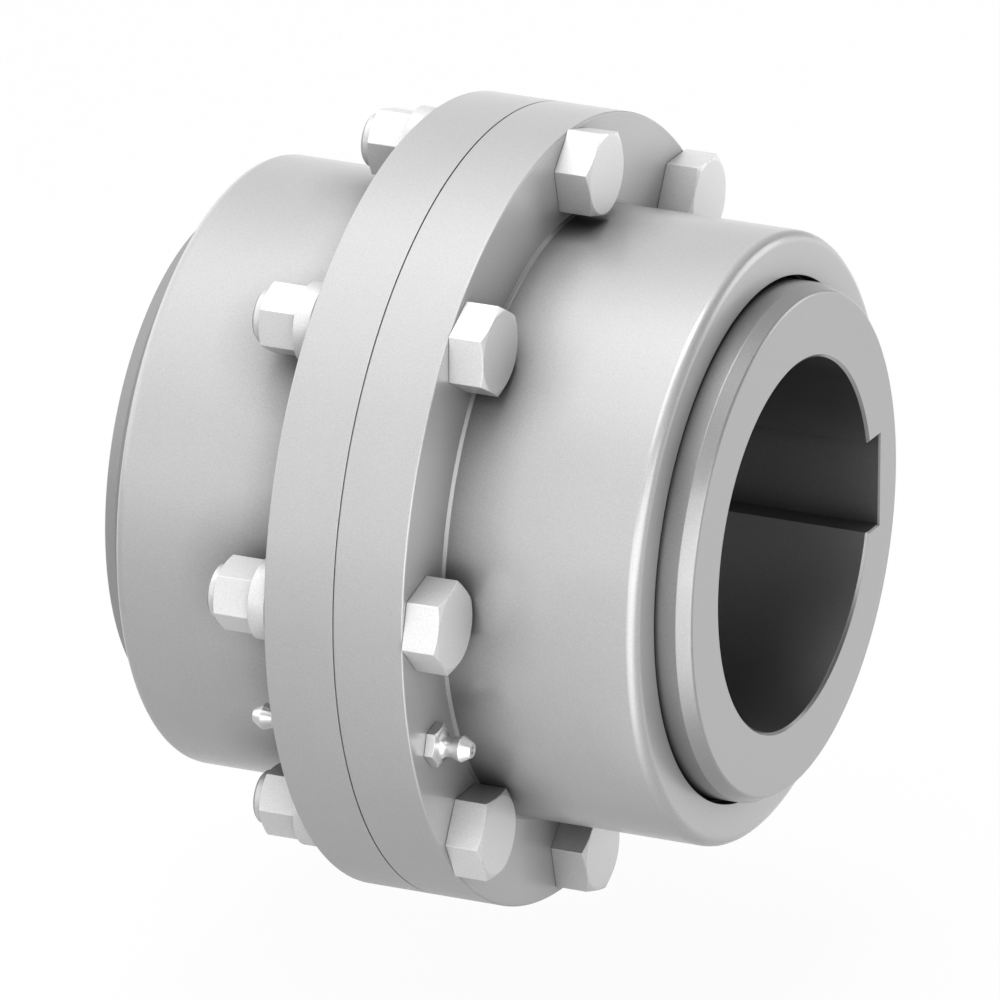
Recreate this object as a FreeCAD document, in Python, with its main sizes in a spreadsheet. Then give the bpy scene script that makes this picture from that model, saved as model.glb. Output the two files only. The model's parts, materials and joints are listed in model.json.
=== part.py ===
import FreeCAD, Part
import math
import os
import Sketcher
from FreeCAD import Placement, Rotation, Vector

# A flanged gear coupling, in millimetres. The shaft axis is X, Z is up, and the origin lies on that
# axis, half way between the two flanges. The driving half is on the -X side, the driven half on +X.

# Driving dimensions: the cell's name, its value, and what it is.
SIZES = [
    ("bore_radius", 55.0, "for the shaft"),
    ("bore_bevel", 0.8, "at both ends of the bore"),
    ("key_width", 28.0, "keyway, side to side"),
    ("key_depth", 6.4, "keyway, below the wall of the bore"),
    ("hub_wall", 21.15, "from the bore out to the hub's barrel"),
    ("hub_bevel_length", 4.3, "bevel round the hub's outer end, along the axis"),
    ("hub_bevel_angle", 25.0, "of that bevel, from the axis"),
    ("hub_gap", 5.0, "between the inner ends of the two hubs"),
    ("hub_stand", 10.4, "of the hub past the sleeve's outer end"),
    ("teeth", 40, "on each hub, and in each sleeve"),
    ("tooth_inset", 2.5, "from the hub's inner end to its teeth"),
    ("tooth_face", 28.0, "length of the hub's teeth"),
    ("root_step", 0.65, "from the hub's barrel up to the floor between its teeth"),
    ("root_depth", 3.2, "from that floor to the pitch radius, half way up the teeth"),
    ("tip_height", 3.2, "hub tooth above the pitch radius"),
    ("tooth_angle", 20.0, "flank, from the middle of the space between hub teeth"),
    ("tooth_play", 0.1, "each flank of a hub tooth is this much thinner"),
    ("crown_radius", 220.0, "lengthwise curve of the hub's teeth"),
    ("cutter_runout", 1.5, "of the cut between teeth past the tooth's end"),
    ("sleeve_tip_gap", 0.8, "between the sleeve's teeth and the floor between the hub's"),
    ("sleeve_root_gap", 0.3, "outside the tips of the hub's teeth"),
    ("sleeve_play", 0.05, "each flank of a sleeve tooth is this much thinner"),
    ("sleeve_overrun", 3.0, "of the sleeve's teeth past both ends of the hub's"),
    ("chamber_step", 0.4, "from the sleeve's tooth roots out to the grease chamber"),
    ("chamber_length", 22.7, "from the sleeve's teeth to the slope down to the mouth"),
    ("chamber_slope", 5.0, "length of that slope"),
    ("mouth_gap", 1.25, "between the sleeve's mouth and the hub's barrel"),
    ("mouth_land", 8.7, "of the mouth, from the slope to the seal's groove"),
    ("mouth_lip", 4.6, "of the mouth, from the seal's groove to the sleeve's outer end"),
    ("sleeve_wall", 6.4, "outside the grease chamber"),
    ("sleeve_round", 3.4, "round the sleeve's outer end"),
    ("sleeve_fillet", 0.9, "between barrel and flange"),
    ("flange_thickness", 21.7, "each flange"),
    ("flange_edge", 12.5, "from the bolts' middle to the rim"),
    ("flange_bevel", 0.5, "round the flange's outer edge"),
    ("seal_width", 5.4, "seal ring, along the axis"),
    ("seal_depth", 5.0, "seal ring, across its section"),
    ("seal_gap", 0.85, "between seal ring and hub, for the hub's tilt"),
    ("seal_side_play", 0.15, "between the seal ring and each side of its groove"),
    ("seal_back_play", 0.1, "between the seal ring and the floor of its groove"),
    ("gasket_thickness", 0.4, "between the flanges"),
    ("gasket_inset", 0.6, "from the rim in to the gasket"),
    ("gasket_clear", 2.5, "from the sleeve's recess out to the gasket"),
    ("bolts", 8, "through the flanges"),
    ("bolt_radius", 8.0, "shank"),
    ("bolt_play", 0.1, "between a shank and its hole"),
    ("shank_short", 1.0, "of the shank below the far flange's face"),
    ("head_shelf", 4.0, "from the shank out to a flat of the bolt's head"),
    ("head_height", 10.8, "bolt head"),
    ("head_crown", 0.3, "from a flat in to the round top of the head"),
    ("head_bevel", 22.5, "slope of the bevel round the head's top"),
    ("head_room", 0.344, "between a corner of the head and the sleeve's barrel"),
    ("hexagon_turn", 14.2, "of head and nut, from a flat that faces the shaft"),
    ("thread_step", 2.0, "from the shank in to the thinner threaded end"),
    ("thread_play", 0.1, "between the bolt's thread and the nut"),
    ("thread_bevel", 1.0, "round the bolt's end"),
    ("washer_play", 0.5, "between the bolt's thread and the washer"),
    ("washer_lip", 1.03, "of the washer past the nut's corners"),
    ("washer_thickness", 5.6, "heavy washer"),
    ("washer_bevel", 0.4, "round both outer edges of the washer"),
    ("nut_height", 11.8, "hexagon of the nut"),
    ("nut_crown", 0.2, "from a flat in to the round top of the nut's hexagon"),
    ("nut_bevel", 22.5, "slope of the bevel round that top"),
    ("nut_shelf", 1.7, "from the nut's collar out to a flat"),
    ("collar_wall", 1.7, "of the round locking collar on the nut"),
    ("collar_height", 3.1, "of that collar"),
    ("collar_bevel", 0.9, "round the collar's end"),
    ("port_offset", 13.7, "from the sleeve's barrel to the middle of the grease ports"),
    ("port_step", 4, "whole spaces between bolts from the plug's space to the nipple's"),
    ("port_radius", 5.0, "threaded hole for a nipple or plug"),
    ("port_depth", 12.0, "of that hole"),
    ("port_play", 0.1, "between nipple or plug and the hole"),
    ("passage_radius", 2.0, "drilled way from port to teeth"),
    ("passage_start", 4.0, "from the parting plane to its inner mouth"),
    ("nipple_flats", 11.3, "hexagon of the grease nipple, across its flats"),
    ("nipple_turn", 8.7, "of that hexagon, from a corner that points away from the shaft"),
    ("nipple_seat", 3.1, "height of that hexagon"),
    ("nipple_crown", 0.15, "from a flat in to its round top"),
    ("nipple_bevel", 30.0, "slope of the bevel round that top"),
    ("nipple_shank", 8.0, "of the nipple in its hole"),
    ("waist_radius", 2.95, "waist of the nipple"),
    ("flare_inset", 0.35, "from a flat in to the foot of the flare up to the waist"),
    ("waist_length", 0.8, "straight, above that flare"),
    ("bulge_radius", 3.95, "widest part of the nipple's head"),
    ("bulge_rise", 3.2, "from the waist to the widest part"),
    ("cone_rise", 3.1, "from the widest part to the tip"),
    ("tip_radius", 2.2, "flat tip of the nipple"),
    ("ball_radius", 1.25, "check ball"),
    ("ball_play", 0.1, "between the ball and its bore"),
    ("ball_rest", 0.03, "between the ball and its lip"),
    ("lip_step", 0.25, "from the ball's radius in to the hole in the tip"),
    ("lip_thickness", 0.5, "of the tip round that hole"),
    ("plug_length", 9.0, "lubrication plug"),
    ("plug_inset", 0.5, "of the plug below the flange's face"),
    ("socket_flats", 5.0, "hexagon socket of the plug, across its flats"),
    ("socket_depth", 4.0, "of that socket"),
    ("overcut", 1.0, "by which the shape of a cut runs past what it cuts"),
]

doc = FreeCAD.newDocument("GearCoupling")
sheet = doc.addObject("Spreadsheet::Sheet", "Sizes")


class Size:
    """A number and the expression on the sheet that gives it, so that a feature can be bound to it."""

    def __init__(self, number, text):
        self.number = number
        self.text = text

    def __add__(self, other):
        other = as_size(other)
        return Size(self.number + other.number, f"({self.text} + {other.text})")

    def __radd__(self, other):
        return as_size(other) + self

    def __sub__(self, other):
        other = as_size(other)
        return Size(self.number - other.number, f"({self.text} - {other.text})")

    def __rsub__(self, other):
        return as_size(other) - self

    def __mul__(self, other):
        other = as_size(other)
        return Size(self.number * other.number, f"({self.text} * {other.text})")

    def __rmul__(self, other):
        return as_size(other) * self

    def __truediv__(self, other):
        other = as_size(other)
        return Size(self.number / other.number, f"({self.text} / {other.text})")

    def __rtruediv__(self, other):
        return as_size(other) / self

    def __neg__(self):
        return 0 - self


def as_size(value):
    return value if isinstance(value, Size) else Size(float(value), repr(float(value)))


def root(value):
    return Size(math.sqrt(value.number), f"sqrt({value.text})")


def sine(angle):
    angle = as_size(angle)
    return Size(math.sin(math.radians(angle.number)), f"sin({angle.text} * 1 deg)")


def cosine(angle):
    angle = as_size(angle)
    return Size(math.cos(math.radians(angle.number)), f"cos({angle.text} * 1 deg)")


def tangent(angle):
    angle = as_size(angle)
    return Size(math.tan(math.radians(angle.number)), f"tan({angle.text} * 1 deg)")


def corner(flats):
    """From the middle of a hexagon to its corners."""
    return flats / root(as_size(3))


def arc_sine(value):
    """In degrees."""
    return Size(math.degrees(math.asin(value.number)), f"(asin({value.text}) / 1 deg)")


size = {}
for row, (word, value, meaning) in enumerate(SIZES, start=1):
    sheet.set(f"A{row}", meaning)
    sheet.set(f"B{row}", str(value))
    sheet.setAlias(f"B{row}", word)
    size[word] = Size(float(value), f"Sizes.{word}")
doc.recompute()


def bind(feature, **values):
    """Set properties of a feature and bind each to the sheet."""
    for name, value in values.items():
        value = as_size(value)
        setattr(feature, name, value.number)
        feature.setExpression(name, value.text)


def new_body(label):
    body = doc.addObject("PartDesign::Body", label)
    body.Label = label
    return body


def new_sketch(body, plane, lift=0.0, turn=0.0):
    """A sketch on one of the body's origin planes, moved along its normal and turned about it."""
    sketch = body.newObject("Sketcher::SketchObject", "Sketch")
    origin = next(f for f in body.Origin.OriginFeatures if f.Role == plane)
    sketch.AttachmentSupport = [(origin, "")]
    sketch.MapMode = "FlatFace"
    lift, turn = as_size(lift), as_size(turn)
    sketch.AttachmentOffset = Placement(Vector(0, 0, lift.number), Rotation(Vector(0, 0, 1), turn.number))
    sketch.setExpression("AttachmentOffset.Base.z", lift.text)
    sketch.setExpression("AttachmentOffset.Rotation.Angle", turn.text)
    return sketch


def fix_point(sketch, line, end, point):
    """Hold one end of a line or arc at a place that is bound to the sheet."""
    for kind, value in zip(("DistanceX", "DistanceY"), point):
        value = as_size(value)
        index = sketch.addConstraint(Sketcher.Constraint(kind, -1, 1, line, end, value.number))
        sketch.setExpression(f"Constraints[{index}]", value.text)


def outline(sketch, points, bends=()):
    """A closed outline. bends gives, for some edges, the arc's centre, radius, and 1 or -1 as its turn."""
    bends = dict(bends)
    flat = [Vector(as_size(a).number, as_size(b).number, 0) for a, b in points]
    for i, (start, end) in enumerate(zip(flat, flat[1:] + flat[:1])):
        if i not in bends:
            sketch.addGeometry(Part.LineSegment(start, end))
            continue
        centre, radius, turn = bends[i]
        middle = Vector(as_size(centre[0]).number, as_size(centre[1]).number, 0)
        first, last = (start, end) if turn > 0 else (end, start)
        begin = math.atan2(first.y - middle.y, first.x - middle.x)
        finish = math.atan2(last.y - middle.y, last.x - middle.x)
        round_edge = Part.Circle(middle, Vector(0, 0, 1), radius.number)
        sketch.addGeometry(Part.ArcOfCircle(round_edge, begin, finish))
    turns = [bends[i][2] if i in bends else 1 for i in range(len(points))]
    for i, turn in enumerate(turns):
        after = (i + 1) % len(points)
        last, first = (2 if turn > 0 else 1), (1 if turns[after] > 0 else 2)
        sketch.addConstraint(Sketcher.Constraint("Coincident", i, last, after, first))
        fix_point(sketch, after, first, points[after])
    for i, (_, radius, _) in bends.items():
        index = sketch.addConstraint(Sketcher.Constraint("Radius", i, radius.number))
        sketch.setExpression(f"Constraints[{index}]", radius.text)


def circle(sketch, centre, radius):
    """A full circle, bound to the sheet."""
    radius = as_size(radius)
    middle = Vector(as_size(centre[0]).number, as_size(centre[1]).number, 0)
    line = sketch.addGeometry(Part.Circle(middle, Vector(0, 0, 1), radius.number))
    fix_point(sketch, line, 3, centre)
    index = sketch.addConstraint(Sketcher.Constraint("Radius", line, radius.number))
    sketch.setExpression(f"Constraints[{index}]", radius.text)


def feature(body, kind, sketch, **values):
    """A PartDesign feature made from a sketch, with its sizes bound to the sheet."""
    made = body.newObject(f"PartDesign::{kind}", kind)
    made.Profile = sketch
    sketch.Visibility = False
    bind(made, **values)
    return made


def revolve(body, kind, sketch, axis="H_Axis", angle=360.0, both_ways=False):
    """A Revolution or Groove about one of the sketch's axes."""
    made = feature(body, kind, sketch, Angle=angle)
    made.ReferenceAxis = (sketch, [axis])
    made.Midplane = both_ways
    return made


def repeat(body, original, axis, count):
    """Copies of a feature, evenly spaced round one of the body's own axes."""
    pattern = body.newObject("PartDesign::PolarPattern", "PolarPattern")
    pattern.Originals = [original]
    role = next(f for f in body.Origin.OriginFeatures if f.Role == axis)
    pattern.Axis = (role, [""])
    pattern.Angle = 360
    pattern.Occurrences = int(count.number)
    pattern.setExpression("Occurrences", count.text)
    body.Tip = pattern
    return pattern


def outward(angle):
    """The direction straight out from the shaft axis, at an angle from +Y towards +Z."""
    turn = math.radians(as_size(angle).number)
    return Vector(0, math.cos(turn), math.sin(turn))


def opposite(label, piece):
    """The same piece for the driving side, as seen across the parting plane."""
    made = doc.addObject("Part::Mirroring", label)
    made.Label = label
    made.Source = piece
    made.Normal = Vector(1, 0, 0)
    return made


def seat(piece, side, reach, radius, angle):
    """Stand a piece on a flange: its own Z points away from the flanges, and its X away from the shaft."""
    angle = as_size(angle)
    out, along = outward(angle), Vector(side, 0, 0)
    piece.Placement = Placement(Vector(0, 0, 0), Rotation(out, along.cross(out), along, "ZXY"))
    place = (side * reach, radius * cosine(angle), radius * sine(angle))
    piece.Placement.Base = Vector(*(as_size(p).number for p in place))
    for axis, value in zip("xyz", place):
        piece.setExpression(f".Placement.Base.{axis}", as_size(value).text)


# Radii and places that follow from the driving dimensions.
hub_radius = size["bore_radius"] + size["hub_wall"]
hub_root = hub_radius + size["root_step"]
pitch_radius = hub_root + size["root_depth"]
hub_tip = pitch_radius + size["tip_height"]
quarter_pitch = pitch_radius * math.pi / 2 / size["teeth"]
half_tooth_turn = 180 / size["teeth"]
sleeve_tip = hub_root + size["sleeve_tip_gap"]
sleeve_root = hub_tip + size["sleeve_root_gap"]
chamber_radius = sleeve_root + size["chamber_step"]
sleeve_radius = chamber_radius + size["sleeve_wall"]
mouth_radius = hub_radius + size["mouth_gap"]
seal_radius = hub_radius + size["seal_gap"]

parting = size["gasket_thickness"] / 2
flange_face = parting + size["flange_thickness"]
hub_start = size["hub_gap"] / 2
ring_start = hub_start + size["tooth_inset"]
ring_end = ring_start + size["tooth_face"]
tooth_centre = (ring_start + ring_end) / 2
teeth_start = ring_start - size["sleeve_overrun"]
teeth_end = ring_end + size["sleeve_overrun"]
slope_start = teeth_end + size["chamber_length"]
land_start = slope_start + size["chamber_slope"]
groove_start = land_start + size["mouth_land"]
groove_end = groove_start + size["seal_width"] + 2 * size["seal_side_play"]
sleeve_end = groove_end + size["mouth_lip"]
hub_end = sleeve_end + size["hub_stand"]

bolt_hole = size["bolt_radius"] + size["bolt_play"]
thread_radius = size["bolt_radius"] - size["thread_step"]
head_flats = 2 * (size["bolt_radius"] + size["head_shelf"])
collar_radius = thread_radius + size["thread_play"] + size["collar_wall"]
nut_flats = 2 * (collar_radius + size["nut_shelf"])
washer_radius = corner(nut_flats) + size["washer_lip"]
bolt_circle = sleeve_radius + corner(head_flats) + size["head_room"]
rim_radius = bolt_circle + size["flange_edge"]
port_circle = sleeve_radius + size["port_offset"]
plug_angle = 180 / size["bolts"]
port_angle = plug_angle + 360 * size["port_step"] / size["bolts"]
nipple_flare = size["nipple_flats"] / 2 - size["flare_inset"] - size["waist_radius"]
nipple_top = (
    size["nipple_seat"] + nipple_flare + size["waist_length"] + size["bulge_rise"] + size["cone_rise"]
)
lip_radius = size["ball_radius"] - size["lip_step"]
past = size["overcut"]


def hub(label):
    """A hub: bored and keyed for the shaft, with a ring of crowned teeth near its inner end."""
    body = new_body(label)
    bevel, bore = size["bore_bevel"], size["bore_radius"]
    ring_side = root(hub_tip * hub_tip - size["tooth_face"] * size["tooth_face"] / 4)
    end_radius = hub_radius - size["hub_bevel_length"] * tangent(size["hub_bevel_angle"])
    profile = new_sketch(body, "XZ_Plane")
    outline(
        profile,
        [
            (hub_start, bore + bevel),
            (hub_start + bevel, bore),
            (hub_end - bevel, bore),
            (hub_end, bore + bevel),
            (hub_end, end_radius),
            (hub_end - size["hub_bevel_length"], hub_radius),
            (ring_end, hub_radius),
            (ring_end, ring_side),
            (ring_start, ring_side),
            (ring_start, hub_radius),
            (hub_start, hub_radius),
        ],
        {7: ((tooth_centre, 0.0), hub_tip, 1)},
    )
    revolve(body, "Revolution", profile)

    space = new_sketch(body, "YZ_Plane", tooth_centre)
    slope = tangent(size["tooth_angle"])
    middle = quarter_pitch + size["tooth_play"]
    floor = middle - size["root_depth"] * slope
    above = size["tip_height"] + past
    top = middle + above * slope
    outline(
        space,
        [(hub_root, -floor), (pitch_radius + above, -top), (pitch_radius + above, top), (hub_root, floor)],
    )
    pivot = hub_root - size["crown_radius"]
    ends = [Vector(pivot.number, 0, 0), Vector(pivot.number, past.number, 0)]
    axis = space.addGeometry(Part.LineSegment(*ends), True)
    fix_point(space, axis, 1, (pivot, 0.0))
    fix_point(space, axis, 2, (pivot, past))
    reach = size["tooth_face"] / 2 + size["cutter_runout"]
    cut = revolve(body, "Groove", space, "Axis0", 2 * arc_sine(reach / size["crown_radius"]), True)
    repeat(body, cut, "X_Axis", size["teeth"])

    key = new_sketch(body, "YZ_Plane")
    half, bottom = size["key_width"] / 2, bore + size["key_depth"]
    outline(key, [(0.0, -half), (bottom, -half), (bottom, half), (0.0, half)])
    slot = feature(body, "Pocket", key, Length=hub_end + past)
    slot.Reversed = True
    return body


def sleeve(label):
    """A flanged sleeve: straight teeth inside, a grease chamber, and a seal groove at its mouth."""
    body = new_body(label)
    fillet, rounding, edge = size["sleeve_fillet"], size["sleeve_round"], size["flange_bevel"]
    groove_floor = seal_radius + size["seal_depth"] + size["seal_back_play"]
    profile = new_sketch(body, "XZ_Plane")
    outline(
        profile,
        [
            (parting, chamber_radius),
            (teeth_start, chamber_radius),
            (teeth_start, sleeve_tip),
            (teeth_end, sleeve_tip),
            (teeth_end, chamber_radius),
            (slope_start, chamber_radius),
            (land_start, mouth_radius),
            (groove_start, mouth_radius),
            (groove_start, groove_floor),
            (groove_end, groove_floor),
            (groove_end, mouth_radius),
            (sleeve_end, mouth_radius),
            (sleeve_end, sleeve_radius - rounding),
            (sleeve_end - rounding, sleeve_radius),
            (flange_face + fillet, sleeve_radius),
            (flange_face, sleeve_radius + fillet),
            (flange_face, rim_radius - edge),
            (flange_face - edge, rim_radius),
            (parting, rim_radius),
        ],
        {
            12: ((sleeve_end - rounding, sleeve_radius - rounding), rounding, 1),
            14: ((flange_face + fillet, sleeve_radius + fillet), fillet, -1),
        },
    )
    revolve(body, "Revolution", profile)

    space = new_sketch(body, "YZ_Plane", parting, half_tooth_turn)
    slope = tangent(size["tooth_angle"] - half_tooth_turn)
    middle = quarter_pitch + size["sleeve_play"]
    below = sleeve_tip - past
    mouth = middle + (pitch_radius - below) * slope
    floor = middle - (sleeve_root - pitch_radius) * slope
    outline(space, [(below, -mouth), (sleeve_root, -floor), (sleeve_root, floor), (below, mouth)])
    cut = feature(body, "Pocket", space, Length=teeth_end + size["chamber_length"] / 2 - parting)
    cut.Reversed = True
    repeat(body, cut, "X_Axis", size["teeth"])

    hole = new_sketch(body, "YZ_Plane")
    circle(hole, (bolt_circle, 0.0), bolt_hole)
    drilled = feature(body, "Pocket", hole, Length=flange_face + past)
    drilled.Reversed = True
    repeat(body, drilled, "X_Axis", size["bolts"])

    ports = new_sketch(body, "YZ_Plane", flange_face)
    for angle in (port_angle, plug_angle):
        circle(ports, (port_circle * cosine(angle), port_circle * sine(angle)), size["port_radius"])
    feature(body, "Pocket", ports, Length=size["port_depth"])

    start = (size["passage_start"], sleeve_root - past)
    finish = (flange_face - size["port_depth"] + size["passage_radius"], port_circle)
    run, rise = finish[0] - start[0], finish[1] - start[1]
    for angle in (port_angle, plug_angle):
        way = body.newObject("PartDesign::SubtractiveCylinder", "Passage")
        bind(way, Radius=size["passage_radius"], Height=root(run * run + rise * rise))
        along = Vector(run.number, 0, 0) + outward(angle) * rise.number
        base = Vector(start[0].number, 0, 0) + outward(angle) * start[1].number
        way.AttachmentOffset = Placement(base, Rotation(Vector(0, 0, 1), along))
    return body


def gasket(label):
    """A flat ring of jointing between the flanges, with a hole for each bolt."""
    body = new_body(label)
    ring = new_sketch(body, "YZ_Plane")
    circle(ring, (0.0, 0.0), rim_radius - size["gasket_inset"])
    circle(ring, (0.0, 0.0), chamber_radius + size["gasket_clear"])
    sheet_of = feature(body, "Pad", ring, Length=size["gasket_thickness"])
    sheet_of.Midplane = True
    hole = new_sketch(body, "YZ_Plane")
    circle(hole, (bolt_circle, 0.0), bolt_hole)
    punched = feature(body, "Pocket", hole, Length=size["gasket_thickness"] + past)
    punched.Midplane = True
    repeat(body, punched, "X_Axis", size["bolts"])
    return body


def seal(label, side):
    """A square-section rubber ring in the groove at a sleeve's mouth."""
    width = size["seal_width"]
    ring = doc.addObject("Part::Cut", label)
    ring.Base = rod(seal_radius + size["seal_depth"], 0, width)
    ring.Tool = rod(seal_radius, -past, width + 2 * past)
    ring.Label = label
    seat(ring, side, groove_start + size["seal_side_play"], as_size(0), 0)
    return ring


def hexagon(flats, height, turn):
    """A plain hexagon standing on its own origin, turned from having a corner along its own X."""
    block = doc.addObject("Part::Prism", "Hexagon")
    block.Polygon = 6
    bind(block, Circumradius=corner(flats), Height=height)
    block.Placement = Placement(Vector(0, 0, 0), Rotation(Vector(0, 0, 1), turn.number))
    block.setExpression(".Placement.Rotation.Angle", turn.text)
    return block


def bevelled_hexagon(flats, height, crown, slope, turn):
    """A hexagon whose far end is bevelled. crown is from a flat in to its round top."""
    top = flats / 2 - crown
    cone = doc.addObject("Part::Cone", "Bevel")
    bind(cone, Radius1=top + height / tangent(slope), Radius2=top, Height=height)
    made = doc.addObject("Part::Common", "BevelledHexagon")
    made.Base, made.Tool = hexagon(flats, height, turn), cone
    return made


def rod(radius, start, length):
    """A plain round bar along its own Z."""
    made = doc.addObject("Part::Cylinder", "Rod")
    bind(made, Radius=radius, Height=length)
    made.setExpression(".Placement.Base.z", as_size(start).text)
    return made


def taper(first, last, start, length):
    """A cone along its own Z."""
    made = doc.addObject("Part::Cone", "Taper")
    bind(made, Radius1=first, Radius2=last, Height=length)
    made.setExpression(".Placement.Base.z", as_size(start).text)
    return made


def fuse(label, pieces):
    made = doc.addObject("Part::MultiFuse", label)
    made.Shapes = pieces
    made.Refine = True
    made.Label = label
    return made


def bolt(label, angle):
    """A shouldered bolt: hexagon head, fitted shank through both flanges, and a thinner threaded end."""
    grip = 2 * flange_face
    shank = grip - size["shank_short"]
    length = grip + size["washer_thickness"] + size["nut_height"] + size["collar_height"]
    bevel = size["thread_bevel"]
    turn = 30 - size["hexagon_turn"]
    head = bevelled_hexagon(head_flats, size["head_height"], size["head_crown"], size["head_bevel"], turn)
    made = fuse(label, [
        head,
        rod(size["bolt_radius"], -shank, shank),
        rod(thread_radius, bevel - length, length - bevel - shank),
        taper(thread_radius - bevel, thread_radius, -length, bevel),
    ])
    seat(made, 1, flange_face, bolt_circle, angle)
    return made


def washer(label, angle):
    """A heavy washer under the nut."""
    bevel, high = size["washer_bevel"], size["washer_thickness"]
    made = doc.addObject("Part::Cut", label)
    made.Base = fuse("Disc", [
        taper(washer_radius - bevel, washer_radius, 0, bevel),
        rod(washer_radius, bevel, high - 2 * bevel),
        taper(washer_radius, washer_radius - bevel, high - bevel, bevel),
    ])
    made.Tool = rod(thread_radius + size["washer_play"], -past, high + 2 * past)
    made.Label = label
    seat(made, -1, flange_face, bolt_circle, angle)
    return made


def nut(label, angle):
    """A hexagon nut with a round locking collar at its far end."""
    low, high, bevel = size["nut_height"], size["collar_height"], size["collar_bevel"]
    made = doc.addObject("Part::Cut", label)
    made.Base = fuse("NutBlank", [
        bevelled_hexagon(nut_flats, low, size["nut_crown"], size["nut_bevel"], 30 + size["hexagon_turn"]),
        rod(collar_radius, low, high - bevel),
        taper(collar_radius, collar_radius - bevel, low + high - bevel, bevel),
    ])
    made.Tool = rod(thread_radius + size["thread_play"], -past, low + high + 2 * past)
    made.Label = label
    seat(made, -1, flange_face + size["washer_thickness"], bolt_circle, angle)
    return made


def nipple(label, side):
    """A grease nipple: hexagon seat, waisted neck, coned head with a ball seat, and a hollow shank."""
    foot = size["nipple_seat"]
    bore = size["ball_radius"] + size["ball_play"]
    shank = size["port_radius"] - size["port_play"]
    waist, flare = size["waist_radius"], nipple_flare
    body = new_body(f"{label}_turned")
    profile = new_sketch(body, "XZ_Plane")
    outline(
        profile,
        [
            (bore, -size["nipple_shank"]),
            (shank, -size["nipple_shank"]),
            (shank, foot / 2),
            (waist + flare, foot / 2),
            (waist + flare, foot),
            (waist, foot + flare),
            (waist, foot + flare + size["waist_length"]),
            (size["bulge_radius"], nipple_top - size["cone_rise"]),
            (size["tip_radius"], nipple_top),
            (lip_radius, nipple_top),
            (lip_radius, nipple_top - size["lip_thickness"]),
            (bore, nipple_top - size["lip_thickness"]),
        ],
        {4: ((waist + flare, foot + flare), flare, -1)},
    )
    revolve(body, "Revolution", profile, "V_Axis")
    drilled = doc.addObject("Part::Cut", "DrilledSeat")
    turn = -side * size["nipple_turn"]
    drilled.Base = bevelled_hexagon(
        size["nipple_flats"], foot, size["nipple_crown"], size["nipple_bevel"], turn
    )
    drilled.Tool = rod(bore, -past, foot + 2 * past)
    made = fuse(label, [drilled, body])
    seat(made, side, flange_face, port_circle, port_angle)
    return made


def nipple_ball(label, side):
    """The check ball behind the lip of a nipple's tip."""
    ball = doc.addObject("Part::Sphere", label)
    ball.Label = label
    bind(ball, Radius=size["ball_radius"])
    drop = root(size["ball_radius"] * size["ball_radius"] - lip_radius * lip_radius)
    height = nipple_top - size["lip_thickness"] - drop - size["ball_rest"]
    seat(ball, side, flange_face + height, port_circle, port_angle)
    return ball


def plug(label, side):
    """A flush plug with a hexagon socket, in the port opposite a nipple."""
    depth = size["socket_depth"]
    socket = hexagon(size["socket_flats"], depth + past, as_size(0))
    socket.setExpression(".Placement.Base.z", (-depth).text)
    made = doc.addObject("Part::Cut", label)
    made.Base = rod(size["port_radius"] - size["port_play"], -size["plug_length"], size["plug_length"])
    made.Tool = socket
    made.Label = label
    seat(made, side, flange_face - size["plug_inset"], port_circle, plug_angle)
    return made


driven_hub = hub("driven_hub")
driven_sleeve = sleeve("driven_sleeve")
nodes = [
    opposite("driving_hub", driven_hub),
    opposite("driving_sleeve", driven_sleeve),
    gasket("flange_gasket"),
    driven_sleeve,
    driven_hub,
]
for side, name in ((-1, "driving"), (1, "driven")):
    nodes += [
        seal(f"{name}_seal", side),
        nipple(f"{name}_grease_nipple", side),
        nipple_ball(f"{name}_nipple_ball", side),
        plug(f"{name}_lube_plug", side),
    ]
for k in range(int(size["bolts"].number)):
    angle = 360 * k / size["bolts"]
    nodes += [
        bolt(f"flange_bolt_{k + 1}", angle),
        washer(f"bolt_washer_{k + 1}", angle),
        nut(f"bolt_nut_{k + 1}", angle),
    ]
doc.recompute()

for thing in doc.Objects:
    if "Invalid" in thing.State or "Error" in thing.State:
        raise RuntimeError(f"{thing.Name} ({thing.Label}) failed: {thing.State}")
for node in nodes:
    if node.Shape.isNull() or not node.Shape.isValid() or len(node.Shape.Solids) != 1:
        raise RuntimeError(f"{node.Label} isn't one valid solid")

os.makedirs("parts", exist_ok=True)
for node in nodes:
    node.Shape.exportStep(f"parts/{node.Label}.step")
    print(node.Label, f"{node.Shape.Volume:.1f} mm3")
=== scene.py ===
"""A flanged gear coupling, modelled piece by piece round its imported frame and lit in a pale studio.

The coupling's sizes are in millimetres, and those of shaders and studio in metres. Angles among
them are in degrees.
"""

from __future__ import annotations

import json
import logging
import math
from dataclasses import dataclass, field, replace
from enum import Enum
from typing import Any, Callable, Iterable, Mapping, Sequence

import bpy
from mathutils import Matrix, Vector

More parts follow.
